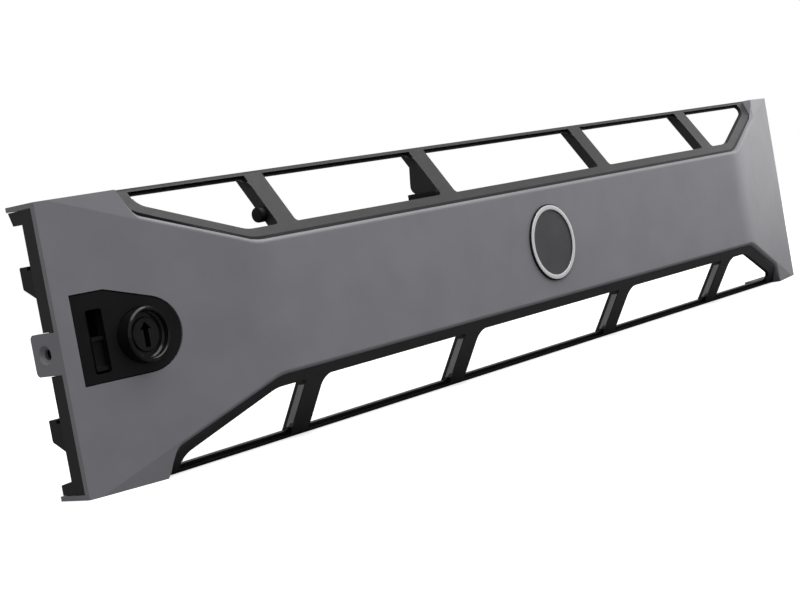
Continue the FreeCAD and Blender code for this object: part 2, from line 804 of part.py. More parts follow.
def frame_ribs(body):
    """The eight ribs between the windows, deeper than the sheets, and one deep web behind a rib."""
    for side in (1, -1):
        for x in ("rib_inner_x", "rib_outer_x"):
            start = signed(side, x) + " - rib_width / 2"
            name = "%s_%s" % (x[:-2], "right" if side > 0 else "left")
            ribs = sketch_on(body, "YZ_Plane", name, start)
            for upper in (1, -1):
                outline(
                    ribs,
                    [
                        (sheet_front("window_low - 2"), signed(upper, "window_low - 2")),
                        (sheet_front("window_high + 1"), signed(upper, "window_high + 1")),
                        (sheet_front("window_high + 1") + " + slope_depth", signed(upper, "window_high + 1")),
                        (sheet_front("window_low - 2") + " + slope_depth", signed(upper, "window_low - 2")),
                    ],
                )
            pad(body, ribs, name + "_pad", "rib_width")
    web = sketch_on(body, "YZ_Plane", "deep_web", "-rib_inner_x - rib_width / 2")
    outline(
        web,
        [
            (sheet_front("deep_web_low") + " + 1", "deep_web_low"),
            (sheet_front("deep_web_high") + " + 1", "deep_web_high"),
            ("deep_web_back_high", "deep_web_high"),
            ("deep_web_back_low", "deep_web_low", "deep_web_round"),
        ],
    )
    pad(body, web, "deep_web_pad", "deep_web_wall")


def frame_rebates(body):
    """A step along the rails beside each window, which leaves a raised lip at the outer edge."""
    spans = window_spans()
    spans.append(("rib_outer_x + rib_width / 2", "tip_x - 1"))
    spans.append(("-tip_x + 1", "-rib_outer_x - rib_width / 2"))
    for index, (left, right) in enumerate(spans):
        step = sketch_on(body, "YZ_Plane", "rail_rebate_%d" % index, "(%s + %s) / 2" % (left, right))
        for upper in (1, -1):
            low, high = "window_high - 1", "half_height - rail_lip"
            outline(
                step,
                [
                    (sheet_front(low) + " - 3", signed(upper, low)),
                    (sheet_front(low) + " + rail_rebate", signed(upper, low)),
                    (sheet_front(high) + " + rail_rebate", signed(upper, high)),
                    (sheet_front(high) + " - 3", signed(upper, high)),
                ],
            )
        pocket(body, step, step.Name + "_cut", "%s - (%s)" % (right, left))


def frame_holes(body):
    """Clear holes for the bosses, the lock and its plate, the release button and the side tab."""
    clear = sketch_on(body, "XZ_Plane", "clear_holes")
    for name, seats, depth in screw_seats():
        for x, z in seats:
            many_sided(clear, x, z, "boss_radius + 2 * screw_gap")
    circle(clear, "lock_x", "0", "lock_body_radius + lock_gap")
    many_sided(clear, "plate_screw_a_x", "plate_screw_a_z", "small_shank + 2 * screw_gap")
    many_sided(clear, "plate_screw_b_x", "plate_screw_b_z", "small_shank + 2 * screw_gap")
    for up in (1, -1):
        many_sided(clear, "cover_ear_x", signed(up, "cover_ear_z"), "small_shank + 2 * screw_gap")
        many_sided(clear, "bracket_screw_x", signed(up, "bracket_screw_z"), "screw_shank + 2 * screw_gap")
    half = "slot_width / 2 + frame_gap"
    low = "slot_bottom - frame_gap"
    high = "slot_top + frame_gap"
    rectangle(clear, "slot_x - (%s)" % half, "slot_x + " + half, low, high, "slot_round")
    pocket(body, clear, "clear_holes_cut", "6 * bow")
    seat = sketch_on(body, "XZ_Plane", "lock_head_seat", "-1 * (lock_seat)")
    circle(seat, "lock_x", "0", "lock_head_radius + lock_gap")
    pocket(body, seat, "lock_head_seat_cut", "20", "One side", True)
    slots = sketch_on(body, "XZ_Plane", "flank_slots", "-1 * (flank_back + frame_gap)")
    for side in (1, -1):
        for upper in (1, -1):
            flank_strip(slots, side, upper, "0.15", "frame_gap", "flank_wall + frame_gap")
    pocket(body, slots, "flank_slots_cut", "20", "One side", True)
    notch = sketch_on(body, "XZ_Plane", "tab_notch")
    right = "-half_width + tab_wall + frame_gap"
    rectangle(notch, "-half_width - 1", right, "tab_bottom - frame_gap", "tab_top + frame_gap")
    pocket(body, notch, "tab_notch_cut", "6 * bow")


# Badge: a bright ring round a dark disc, both bare
def badge():
    back = "-bow + badge_seat"
    turned(
        "badge_ring",
        [
            ("badge_radius - badge_ring_wall", back),
            ("badge_radius", back),
            ("badge_radius", "badge_ring_front + ring_bevel"),
            ("badge_radius - ring_bevel", "badge_ring_front"),
            ("badge_radius - badge_ring_wall + ring_bevel", "badge_ring_front"),
            ("badge_radius - badge_ring_wall", "badge_ring_front + ring_bevel"),
        ],
    )
    edge = "badge_radius - badge_ring_wall - screw_gap"
    turned("badge_disc", [("0", back), (edge, back), (edge, "badge_disc_front"), ("0", "badge_disc_front")])


# Lock plate: a thin black plate, flush in the moulding, round the lock and the release slot
def lock_plate():
    body = new_body("lock_plate")
    plan = sketch_on(body, "XY_Plane", "plate_plan")

    def line(x, depth):
        return ("-1 * (%s)" % x, "%s + %s" % (end_front(x), depth))

    outline(
        plan,
        [
            line("half_width", "plate_sunk"),
            line("crease_x + 20", "plate_sunk"),
            line("crease_x + 20", "shell_wall"),
            line("half_width", "shell_wall"),
        ],
    )
    pad(body, plan, "plate_slab", "2 * (plate_top + 3)", "Symmetric")
    trim = sketch_on(body, "XZ_Plane", "plate_trim")
    plate_outline(trim, "plate_gap")
    rectangle(trim, "-half_width - 5", "-crease_x", "-plate_top - 9", "plate_top + 9")
    pocket(body, trim, "plate_trim_cut", "6 * bow")

    def front_edge(edge):
        middle = edge.valueAt((edge.FirstParameter + edge.LastParameter) / 2)
        depth = worth(end_front(str(abs(middle.x)))) + worth("plate_sunk")
        return abs(middle.y - depth) < 0.1

    round_edges(body, "plate_front_bevel", "0.3", front_edge, "Chamfer")
    holes = sketch_on(body, "XZ_Plane", "plate_holes")
    circle(holes, "lock_x", "0", "lock_head_radius + lock_gap")
    half = "slot_width / 2"
    rectangle(holes, "slot_x - " + half, "slot_x + " + half, "slot_bottom", "slot_top", "slot_round")
    pocket(body, holes, "plate_holes_cut", "6 * bow")
    for letter in ("a", "b"):
        x = "plate_screw_%s_x" % letter
        depth = "%s + shell_wall + 1" % end_front("-1 * " + x)
        pilot = sketch_on(body, "XZ_Plane", "plate_pilot_" + letter, "-1 * (%s)" % depth)
        many_sided(pilot, x, "plate_screw_%s_z" % letter, "small_shank + 2 * screw_gap")
        pocket(body, pilot, pilot.Name + "_cut", "2", "One side", True)
    return body


# Keylock: a flanged housing, nut and washer, and the turning core with its cam
def keylock():
    turned(
        "lock_housing",
        [
            ("lock_bore_radius", "lock_recess_floor"),
            ("lock_recess_radius - lock_bevel", "lock_recess_floor"),
            ("lock_recess_radius", "lock_recess_floor - lock_bevel"),
            ("lock_recess_radius", "lock_front + 0.3"),
            ("lock_recess_radius + 0.3", "lock_front"),
            ("lock_head_radius - lock_bevel", "lock_front"),
            ("lock_head_radius", "lock_front + lock_bevel"),
            ("lock_head_radius", "lock_seat"),
            ("lock_body_radius", "lock_seat"),
            ("lock_body_radius", "lock_body_back"),
            ("lock_bore_radius", "lock_body_back"),
        ],
        "lock_x",
    )
    inside = "lock_body_radius + screw_gap"
    front = "lock_boss_back"
    behind = "lock_boss_back + washer_wall"
    turned(
        "lock_washer",
        [(inside, front), ("washer_radius", front), ("washer_radius", behind), (inside, behind)],
        "lock_x",
    )
    nut = new_body("lock_nut")
    profile = sketch_on(nut, "XZ_Plane", "nut_profile", "-1 * (%s + nut_thick)" % behind)
    corners = []
    for step in range(6):
        angle = 30 + 60 * step
        reach = "nut_flats / 2 / cos(30)"
        corners.append(("%s * cos(%d)" % (reach, angle), "%s * sin(%d)" % (reach, angle)))
    outline(profile, corners)
    circle(profile, "0", "0", inside)
    pad(nut, profile, "nut_pad", "nut_thick")
    nut.setExpression("Placement.Base.x", linked("lock_x"))
    doc.recompute()

    core = turned(
        "lock_core",
        [
            ("0", "core_front"),
            ("core_radius - 0.3", "core_front"),
            ("core_radius", "core_front + 0.3"),
            ("core_radius", "lock_body_back + 0.3"),
            ("core_tail_half * 1.2", "lock_body_back + 0.3"),
            ("core_tail_half * 1.2", "core_tail_back"),
            ("0", "core_tail_back"),
        ],
        "lock_x",
    )
    keyway = sketch_on(core, "XZ_Plane", "keyway", "-1 * (core_front + key_depth)")
    outline(
        keyway,
        [
            ("-key_width / 2", "-key_height / 2"),
            ("key_width / 2", "-key_height / 2"),
            ("key_width / 2", "0.2 * key_height"),
            ("1.1 * key_width", "0.2 * key_height"),
            ("0", "key_height / 2"),
            ("-1.1 * key_width", "0.2 * key_height"),
            ("-key_width / 2", "0.2 * key_height"),
        ],
    )
    pocket(core, keyway, "keyway_cut", "key_depth + 2", "One side", True)
    tail = sketch_on(core, "XZ_Plane", "tail_flats", "-1 * (core_tail_back + 1)")
    for side in (1, -1):
        rectangle(tail, signed(side, "core_tail_half"), signed(side, "2 * core_radius"), "-8", "8")
    pocket(core, tail, "tail_flats_cut", "core_tail_back + 1 - lock_body_back - 0.3", "One side", True)
    bore = sketch_on(core, "XZ_Plane", "tail_bore", "-1 * (core_tail_back)")
    many_sided(bore, "0", "0", "small_shank + 2 * screw_gap")
    pocket(core, bore, "tail_bore_cut", "6", "One side", True)

    cam = new_body("lock_cam")
    arm = sketch_on(cam, "XZ_Plane", "cam_outline", "-1 * (cam_front + cam_wall)")
    half = "cam_width / 2"
    outline(
        arm,
        [
            ("-1 * " + half, half, "2.5"),
            ("-1 * " + half, "-1 * cam_reach", "1.2"),
            (half, "-1 * cam_reach", "1.2"),
            (half, half, "2.5"),
        ],
    )
    flat = "core_tail_half + screw_gap"
    rectangle(arm, "-1 * (%s)" % flat, flat, "-1.2 * core_tail_half", "1.2 * core_tail_half")
    pad(cam, arm, "cam_pad", "cam_wall")
    cam.setExpression("Placement.Base.x", linked("lock_x"))
    doc.recompute()
    screw_group(
        "cam_screw",
        [("lock_x", "core_tail_back", "0", "4.5")],
        "small_shank",
        "small_head * 2.3",
        "small_head_high",
    )


# Release button, the sliding latch bar with its two hooks, its spring and its keeper
def latch():
    button = new_body("release_slider")
    face = sketch_on(button, "XZ_Plane", "button_outline", "-1 * (bar_front)")
    half = "slot_width / 2 - button_gap"
    rectangle(face, "slot_x - (%s)" % half, "slot_x + %s" % half, "button_bottom", "button_top", "0.5")
    pad(button, face, "button_pad", "bar_front - button_front")
    grip = sketch_on(button, "YZ_Plane", "button_grip", "slot_x")
    rectangle(grip, "button_front - 1", "button_front + 0.9", "button_bottom + 1.1", "button_top - 1.1", "0.3")
    pocket(button, grip, "button_grip_cut", "slot_width - 3 * button_gap")
    pilot = sketch_on(button, "XZ_Plane", "button_pilot", "-1 * (bar_front)")
    many_sided(pilot, "slot_x", "(button_bottom + button_top) / 2", "small_shank + 2 * screw_gap")
    pocket(button, pilot, "button_pilot_cut", "3", "One side", True)

    bar = new_body("latch_bar")
    plate = sketch_on(bar, "XZ_Plane", "bar_outline", "-1 * (bar_front + bar_wall)")
    outline(
        plate,
        [
            ("bar_left", "bar_bottom"),
            ("bar_arm_right", "bar_bottom"),
            ("bar_arm_right", "bar_middle_bottom", "1"),
            ("bar_right", "bar_middle_bottom"),
            ("bar_right", "bar_seat"),
            ("bar_arm_right", "bar_seat", "1"),
            ("bar_arm_right", "bar_top"),
            ("bar_left", "bar_top"),
        ],
    )
    pad(bar, plate, "bar_pad", "bar_wall")
    hooks = sketch_on(bar, "YZ_Plane", "hook_profiles", "bar_left")
    for low, high in (("lower_hook_bottom", "lower_hook_top"), ("upper_hook_bottom", "upper_hook_top")):
        outline(
            hooks,
            [
                ("bar_front + bar_wall / 2", low),
                ("bar_front + bar_wall + 0.6", low),
                ("hook_back", low + " + hook_ramp", "0.8"),
                ("hook_back", high, "0.5"),
                ("hook_back - 3.4", high),
                ("hook_back - 3.4", high + " - hook_notch"),
                ("bar_front + bar_wall / 2", high + " - hook_notch"),
            ],
        )
    pad(bar, hooks, "hook_pads", "hook_wall")
    hole = sketch_on(bar, "XZ_Plane", "bar_hole")
    many_sided(hole, "slot_x", "(button_bottom + button_top) / 2", "small_shank + 2 * screw_gap")
    pocket(bar, hole, "bar_hole_cut", "60")

    cover = new_body("latch_cover")
    keeper = sketch_on(cover, "XZ_Plane", "cover_outline", "-1 * (cover_front + cover_wall)")
    ear_right = "cover_ear_x + cover_ear_radius"
    ear_end = "cover_ear_z + cover_ear_radius"
    outline(
        keeper,
        [
            ("cover_left", "-cover_half"),
            ("cover_right", "-cover_half"),
            ("cover_right", signed(-1, ear_end), "1"),
            (ear_right, signed(-1, ear_end), "2"),
            (ear_right, signed(-1, "cover_ear_z - cover_ear_radius"), "2"),
            ("cover_right + 1.6", signed(-1, "cover_ear_z - cover_ear_radius - 3"), "1"),
            ("cover_right + 1.6", "cover_ear_z - cover_ear_radius - 3", "1"),
            (ear_right, "cover_ear_z - cover_ear_radius", "2"),
            (ear_right, ear_end, "2"),
            ("cover_right", ear_end, "1"),
            ("cover_right", "cover_half"),
            ("cover_left", "cover_half"),
        ],
    )
    for up in (1, -1):
        many_sided(keeper, "cover_ear_x", signed(up, "cover_ear_z"), "small_shank + 2 * screw_gap")
    pad(cover, keeper, "cover_pad", "cover_wall")
    travel = sketch_on(cover, "XZ_Plane", "screw_travel_slot")
    middle = "(button_bottom + button_top) / 2"
    rectangle(travel, "slot_x - 2", "slot_x + 2", middle + " - 2", middle + " + 9", "1.9")
    pocket(cover, travel, "screw_travel_cut", "60")

    latch_spring()


def latch_spring():
    """The coil spring between bar and lug, in straight runs of square wire."""
    turn, wire = worth("spring_radius"), worth("spring_wire")
    low, high = 1.3 * wire, worth("spring_top - bar_seat") - 1.3 * wire
    sides = 6
    count = int(worth("spring_turns")) * sides
    points = []
    for index in range(count + 1):
        angle = math.radians(360 / sides * index)
        height = low + (high - low) * index / count
        points.append(FreeCAD.Vector(turn * math.cos(angle), turn * math.sin(angle), height))
    along = (points[1] - points[0]).normalize()
    outward = FreeCAD.Vector(1, 0, 0)
    upright = along.cross(outward).normalize()
    section = []
    for across, up in ((1, 1), (-1, 1), (-1, -1), (1, -1), (1, 1)):
        section.append(points[0] + outward * across * wire + upright * up * wire)
    coil = doc.addObject("Part::Feature", "latch_spring")
    coil.Label = "latch_spring"
    path = Part.Wire(Part.makePolygon(points).Edges)
    coil.Shape = path.makePipeShell([Part.makePolygon(section)], True, False, 1)
    coil.setExpression("Placement.Base.x", linked("spring_x"))
    coil.setExpression("Placement.Base.y", linked("spring_y + " + MIDDLE))
    coil.setExpression("Placement.Base.z", linked("bar_seat"))
    doc.recompute()


# Fixed hooks of the right end, which go into the chassis first
def hook_bracket():
    body = new_body("hook_bracket")
    plate = sketch_on(body, "XZ_Plane", "bracket_outline", "-1 * (bracket_front + bracket_wall)")
    rectangle(plate, "bracket_left", "bracket_right", "-bracket_half", "bracket_half", "2")
    for up in (1, -1):
        many_sided(plate, "bracket_screw_x", signed(up, "bracket_screw_z"), "screw_shank + 2 * screw_gap")
    pad(body, plate, "bracket_pad", "bracket_wall")
    hooks = sketch_on(body, "XY_Plane", "bracket_hook_profile")
    outline(
        hooks,
        [
            ("bracket_hook_x", "bracket_front + bracket_wall / 2"),
            ("bracket_hook_x", "hook_back", "0.8"),
            ("bracket_right + 1.4", "hook_back - 1.6", "0.5"),
            ("bracket_right + 1.4", "hook_back - 3.6"),
            ("bracket_hook_x + 2", "hook_back - 3.6"),
            ("bracket_hook_x + 2", "bracket_front + bracket_wall / 2"),
        ],
    )
    pad(body, hooks, "bracket_hook_pad", "2 * (bracket_hook_z + bracket_hook_half)", "Symmetric")
    gap = sketch_on(body, "YZ_Plane", "bracket_hook_gap")
    inner = "bracket_hook_z - bracket_hook_half"
    rectangle(gap, "bracket_front + bracket_wall", "hook_back + 5", "-1 * (%s)" % inner, inner)
    pocket(body, gap, "bracket_hook_gap_cut", "3 * half_width")
    return body


def fasteners():
    for_moulding = []
    for name, seats, depth in screw_seats():
        for_moulding += [(x, depth, z, "4.6") for x, z in seats]
    screw_group("frame_screws", for_moulding, "screw_shank", "screw_head", "screw_head_high")
    ears = [("cover_ear_x", "cover_front + cover_wall", signed(up, "cover_ear_z"), "6") for up in (1, -1)]
    screw_group("cover_screws", ears, "small_shank", "small_head", "small_head_high")
    feet = []
    for up in (1, -1):
        feet.append(("bracket_screw_x", "bracket_front + bracket_wall", signed(up, "bracket_screw_z"), "5.5"))
    screw_group("hook_screws", feet, "screw_shank", "screw_head", "screw_head_high")
    plate_seats = []
    for letter in ("a", "b"):
        x = "plate_screw_%s_x" % letter
        depth = "%s + shell_wall + web_wall + 0.45" % end_front("-1 * " + x)
        plate_seats.append((x, depth, "plate_screw_%s_z" % letter, "3.2"))
    screw_group("plate_screws", plate_seats, "small_shank", "small_head", "small_head_high")
    seat = [("slot_x", "bar_front + bar_wall", "(button_bottom + button_top) / 2", "4.2")]
    screw_group("slider_screw", seat, "small_shank", "small_head", "small_head_high")


front_shell()
inner_frame()
badge()
lock_plate()
keylock()
latch()
hook_bracket()
fasteners()

PARTS = [
    "front_shell", "inner_frame", "badge_ring", "badge_disc", "lock_plate", "plate_screws",
    "lock_housing", "lock_washer", "lock_nut", "lock_core", "lock_cam", "cam_screw",
    "release_slider", "slider_screw", "latch_bar", "latch_spring", "latch_cover", "cover_screws",
    "hook_bracket", "hook_screws", "frame_screws",
]

# Every piece moves with the origin to the middle of the bezel's depth
for name in PARTS:
    if name != "latch_spring":
        doc.getObject(name).setExpression("Placement.Base.y", linked(MIDDLE))
doc.recompute()

# Nothing is written unless every object is sound
for item in doc.Objects:
    if "Invalid" in item.State or "Error" in item.State:
        raise RuntimeError("%s failed: %s" % (item.Name, item.State))
os.makedirs("parts", exist_ok=True)
for name in PARTS:
    item = doc.getObject(name)
    if item.Shape.isNull() or not item.Shape.isValid():
        raise RuntimeError(name + " has no valid shape")
    item.Shape.exportStep("parts/%s.step" % item.Label)
    print(name, len(item.Shape.Solids), round(item.Shape.Volume, 1), len(item.Shape.Faces))
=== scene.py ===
import math

import bmesh
import bpy
from mathutils import Matrix, Vector


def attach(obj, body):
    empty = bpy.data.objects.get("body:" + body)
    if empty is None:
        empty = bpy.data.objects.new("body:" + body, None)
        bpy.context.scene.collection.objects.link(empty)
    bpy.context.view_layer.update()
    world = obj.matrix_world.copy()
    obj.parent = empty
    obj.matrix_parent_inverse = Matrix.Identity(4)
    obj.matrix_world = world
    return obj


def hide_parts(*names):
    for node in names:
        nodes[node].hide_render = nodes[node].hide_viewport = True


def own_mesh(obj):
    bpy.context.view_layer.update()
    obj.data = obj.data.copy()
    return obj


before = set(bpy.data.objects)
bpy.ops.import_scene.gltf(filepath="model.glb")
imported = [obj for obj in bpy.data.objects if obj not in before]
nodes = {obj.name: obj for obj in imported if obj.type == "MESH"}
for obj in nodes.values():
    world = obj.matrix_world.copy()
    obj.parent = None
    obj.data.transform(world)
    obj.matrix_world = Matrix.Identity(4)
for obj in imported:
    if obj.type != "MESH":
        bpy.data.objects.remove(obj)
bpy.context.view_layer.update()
MM = 0.001

# Front moulding: one bow-tie shaped wall of plastic, moulded in one shot and sprayed with a fine
# metallic grey. It lies over the black frame and is screwed to it from behind.
PAINT_LIGHT = (0.286, 0.281, 0.306, 1)
PAINT_DARK = (0.262, 0.258, 0.281, 1)


def start_material(name, roughness, metallic=0.0, specular=0.5):
    """A new material with its plain values set on the shader's own sockets."""
    made = bpy.data.materials.new(name)
    made.use_nodes = True
    shader = made.node_tree.nodes["Principled BSDF"]
    shader.inputs["Roughness"].default_value = roughness
    shader.inputs["Metallic"].default_value = metallic
    shader.inputs["Specular IOR Level"].default_value = specular
    return made


def noise_on(made, scale, detail=2.0, stretch=(1, 1, 1)):
    """A noise on the object's own coordinates, with scale in cells per metre."""
    tree = made.node_tree
    place = tree.nodes.new("ShaderNodeTexCoord")
    mapping = tree.nodes.new("ShaderNodeMapping")
    mapping.inputs["Scale"].default_value = stretch
    noise = tree.nodes.new("ShaderNodeTexNoise")
    noise.inputs["Scale"].default_value = scale
    noise.inputs["Detail"].default_value = detail
    tree.links.new(place.outputs["Object"], mapping.inputs["Vector"])
    tree.links.new(mapping.outputs["Vector"], noise.inputs["Vector"])
    return noise.outputs["Fac"]


def ramp_on(made, source, low, high, start=0.35, stop=0.65):
    """Turns a noise into a run between two colours."""
    ramp = made.node_tree.nodes.new("ShaderNodeValToRGB")
    ramp.color_ramp.elements[0].position = start
    ramp.color_ramp.elements[0].color = low
    ramp.color_ramp.elements[1].position = stop
    ramp.color_ramp.elements[1].color = high
    made.node_tree.links.new(source, ramp.inputs["Fac"])
    return ramp.outputs["Color"]


def join(made, source, socket):
    """Links what a node gives out to one of the shader's sockets."""
    shader = made.node_tree.nodes["Principled BSDF"]
    made.node_tree.links.new(source, shader.inputs[socket])


def bump_on(made, source, strength, distance):
    """Relief from a noise, its depth in metres."""
    bump = made.node_tree.nodes.new("ShaderNodeBump")
    bump.inputs["Strength"].default_value = strength
    bump.inputs["Distance"].default_value = distance
    made.node_tree.links.new(source, bump.inputs["Height"])
    join(made, bump.outputs["Normal"], "Normal")


def vary_roughness(made, source, low, high):
    """Turns a noise into a run between two roughnesses."""
    spread = made.node_tree.nodes.new("ShaderNodeMapRange")
    spread.inputs["To Min"].default_value = low
    spread.inputs["To Max"].default_value = high
    made.node_tree.links.new(source, spread.inputs["Value"])
    join(made, spread.outputs["Result"], "Roughness")


def finish_node(name, made):
    """Gives a carried-over piece its finish in every slot."""
    mesh = nodes[name].data
    mesh.materials.clear()
    mesh.materials.append(made)


def metallic_paint():
    """Sprayed grey with faint clouds, an uneven gloss and a fine orange peel."""
    made = start_material("metallic_grey_paint", roughness=0.46, metallic=0.15, specular=0.45)
    clouds = noise_on(made, scale=55, detail=4)
    join(made, ramp_on(made, clouds, PAINT_DARK, PAINT_LIGHT), "Base Color")
    vary_roughness(made, noise_on(made, scale=140, detail=3), low=0.42, high=0.50)
    bump_on(made, noise_on(made, scale=2200, detail=3), strength=0.10, distance=0.00006)
    return made


finish_node("front_shell", metallic_paint())

# Inner frame: one black moulding with the window borders, the ribs and the long rails. Its visible
# faces have the fine matt grain that the mould leaves. The front moulding is screwed onto it.
FRAME_BLACK = (0.006, 0.006, 0.006, 1)
FRAME_GREY = (0.010, 0.010, 0.010, 1)


def moulded_black(name, roughness, low, high, specular=0.45):
    """A moulded finish between two colours, with the mould's grain."""
    made = start_material(name, roughness, metallic=0.0, specular=specular)
    join(made, ramp_on(made, noise_on(made, scale=90, detail=4), low, high), "Base Color")
    vary_roughness(made, noise_on(made, scale=300, detail=3), roughness - 0.05, roughness + 0.06)
    bump_on(made, noise_on(made, scale=3600, detail=2), strength=0.25, distance=0.00005)
    return made


grained_black = moulded_black("grained_black", 0.48, FRAME_BLACK, FRAME_GREY, specular=0.6)
finish_node("inner_frame", grained_black)

# Painted shadow line: a thin dark strip laid on the frame's sills just past the front moulding's
# upper edge, where that edge lies over the sills in a seam between two mouldings. Its deep black is
# painted shade for the shadow gap there.
DEEP_BLACK = (0.003, 0.003, 0.003, 1)
DEEP_GREY = (0.005, 0.005, 0.005, 1)
SHELL_CORNERS = [(0.0, 21.2, 0), (154.0, 21.2, 20.0), (192.1, 35.0, 6.0), (196.2, 42.0, 0)]
ARC_STEPS = 8
LINE_STEP = 4
LINE_MIDDLE, LINE_WIDTH = 0.5, 0.9
LINE_LIFT, LINE_THICK = 0.06, 0.12
IN_FRONT_Y, MISSED_Y = -25, -20


def clear_selection():
    """Leaves edit mode and takes everything out of the selection."""
    if bpy.context.object and bpy.context.object.mode != "OBJECT":
        bpy.ops.object.mode_set(mode="OBJECT")
    bpy.ops.object.select_all(action="DESELECT")


def apply_modifiers(piece):
    """Applies all of a piece's modifiers in their order."""
    clear_selection()
    piece.select_set(True)
    bpy.context.view_layer.objects.active = piece
    for modifier in list(piece.modifiers):
        bpy.ops.object.modifier_apply(modifier=modifier.name)


def settle(piece, name):
    """Puts the piece's place and turn into its mesh, so that its origin is the frame's."""
    clear_selection()
    piece.select_set(True)
    bpy.context.view_layer.objects.active = piece
    bpy.ops.object.transform_apply(location=True, rotation=True, scale=True)
    piece.name = name
    piece.data.name = name


def shell_edge():
    """The upper right edge of the front moulding from the middle outwards, in X and Z.
    Each of its corners has its place and its rounding, in millimetres."""
    points = []
    for index, (x, z, radius) in enumerate(SHELL_CORNERS):
        here = Vector((x, z))
        if not radius:
            points.append(here)
            continue
        before = (Vector(SHELL_CORNERS[index - 1][:2]) - here).normalized()
        after = (Vector(SHELL_CORNERS[index + 1][:2]) - here).normalized()
        half = before.angle(after) / 2
        run = radius / math.tan(half)
        centre = here + (before + after).normalized() * radius / math.sin(half)
        start, stop = here + before * run - centre, here + after * run - centre
        for step in range(ARC_STEPS + 1):
            turned = start.slerp(stop, step / ARC_STEPS).normalized()
            points.append(centre + turned * radius)
    return points


def painted_shadow_line():
    """A strip along the edge, laid on the frame's sills from the front and thickened.
    Points past the frame's outline, which meet nothing, are taken out again."""
    clear_selection()
    half = shell_edge()
    line = [Vector((-point.x, point.y)) for point in reversed(half)] + half[1:]
    spaced = []
    for first, second in zip(line, line[1:]):
        count = max(1, round((second - first).length / LINE_STEP))
        spaced += [first.lerp(second, step / count) for step in range(count)]
    spaced.append(line[-1])
    last = len(spaced) - 1
    bpy.ops.mesh.primitive_grid_add(x_subdivisions=last, y_subdivisions=1, size=1)
    strip = bpy.context.object
    for vertex in strip.data.vertices:
        index = round((vertex.co.x + 0.5) * last)
        before, after = spaced[max(index - 1, 0)], spaced[min(index + 1, last)]
        along = (after - before).normalized()
        outwards = Vector((-along.y, along.x))
        spot = spaced[index] + outwards * (LINE_MIDDLE + LINE_WIDTH * vertex.co.y)
        vertex.co = Vector((spot.x, IN_FRONT_Y, spot.y)) * MM
    wrap = strip.modifiers.new("wrap", "SHRINKWRAP")
    wrap.wrap_method = "PROJECT"
    wrap.use_project_y = True
    wrap.use_positive_direction = True
    wrap.use_negative_direction = False
    wrap.target = nodes["inner_frame"]
    wrap.offset = LINE_LIFT * MM
    apply_modifiers(strip)
    bpy.ops.object.mode_set(mode="EDIT")
    mesh = bmesh.from_edit_mesh(strip.data)
    for vertex in mesh.verts:
        vertex.select = vertex.co.y < MISSED_Y * MM
    bmesh.update_edit_mesh(strip.data)
    bpy.ops.mesh.delete(type="VERT")
    bpy.ops.object.mode_set(mode="OBJECT")
    thick = strip.modifiers.new("thick", "SOLIDIFY")
    thick.thickness = LINE_THICK * MM
    thick.offset = 0.0
    apply_modifiers(strip)
    settle(strip, "painted_shadow_line")
    # The strip's deep black is painted shade: the shadow in the gap at the moulding's edge.
    strip.data.materials.append(deep_black)
    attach(strip, "bezel")


deep_black = moulded_black("deep_black", 0.55, DEEP_BLACK, DEEP_GREY, specular=0.25)
painted_shadow_line()

# Slot collar: a thin black rim round the release slot, moulded with the frame. It reaches from the
# web's sloping back to just in front of the sliding bar, and closes the space between them.
END_DROP, END_RUN = 18.1, 68.5
COLLAR_LOW, COLLAR_HIGH = (-213.9, 1.6, -9.0), (-208.1, 5.6, 10.6)
COLLAR_WALL = 0.5
WEB_BACK = (-211, 2.96, 0)


def cuboid(name, low, high):
    """A plain box between two corners in millimetres, from which a piece is shaped."""
    clear_selection()
    centre = [(a + b) / 2 * MM for a, b in zip(low, high)]
    bpy.ops.mesh.primitive_cube_add(size=1, location=centre)
    box = bpy.context.object
    box.scale = [(b - a) * MM for a, b in zip(low, high)]
    settle(box, name)
    return box


def slot_collar():
    """Four walls without front or back, cut along the slope of the web."""
    collar = cuboid("slot_collar", COLLAR_LOW, COLLAR_HIGH)
    bpy.ops.object.mode_set(mode="EDIT")
    mesh = bmesh.from_edit_mesh(collar.data)
    for face in mesh.faces:
        face.select = abs(face.normal.y) > 0.9
    bmesh.update_edit_mesh(collar.data)
    bpy.ops.mesh.delete(type="FACE")
    bpy.ops.object.mode_set(mode="OBJECT")
    wall = collar.modifiers.new("wall", "SOLIDIFY")
    wall.thickness = COLLAR_WALL * MM
    wall.offset = 1.0
    apply_modifiers(collar)
    bpy.ops.object.mode_set(mode="EDIT")
    bpy.ops.mesh.select_all(action="SELECT")
    bpy.ops.mesh.bisect(
        plane_co=Vector(WEB_BACK) * MM,
        plane_no=Vector((END_DROP, END_RUN, 0)).normalized(),
        use_fill=True,
        clear_inner=True,
    )
    bpy.ops.mesh.select_all(action="SELECT")
    bpy.ops.mesh.normals_make_consistent(inside=False)
    bpy.ops.object.mode_set(mode="OBJECT")
    collar.data.materials.append(deep_black)
    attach(collar, "bezel")


slot_collar()

# Tab-hole block: a small rounded block of black plastic behind the side tab's hole, moulded with the
# frame. It stops the light behind the hole.
SMOOTH_BELOW = math.radians(40)


def rounded_block(name, low, high, rounding):
    """A block between two corners in millimetres, with all its edges rounded."""
    piece = cuboid(name, low, high)
    bevel = piece.modifiers.new("rounding", "BEVEL")
    bevel.width = rounding * MM
    bevel.segments = 3
    apply_modifiers(piece)
    bpy.ops.object.shade_smooth_by_angle(angle=SMOOTH_BELOW)
    piece.data.materials.append(deep_black)
    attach(piece, "bezel")


rounded_block("tab_hole_block", (-220.1, 9.12, -3.4), (-216.6, 13.6, 2.6), rounding=0.5)

# Deep web foot: the low end of the deep web beside the upper rib left of the middle, in black plastic
# and moulded with the frame. It shows through the upper window as a dark step.
rounded_block("deep_web_foot", (-57.4, -10.6, 24.2), (-53.95, 2.3, 26.9), rounding=0.3)

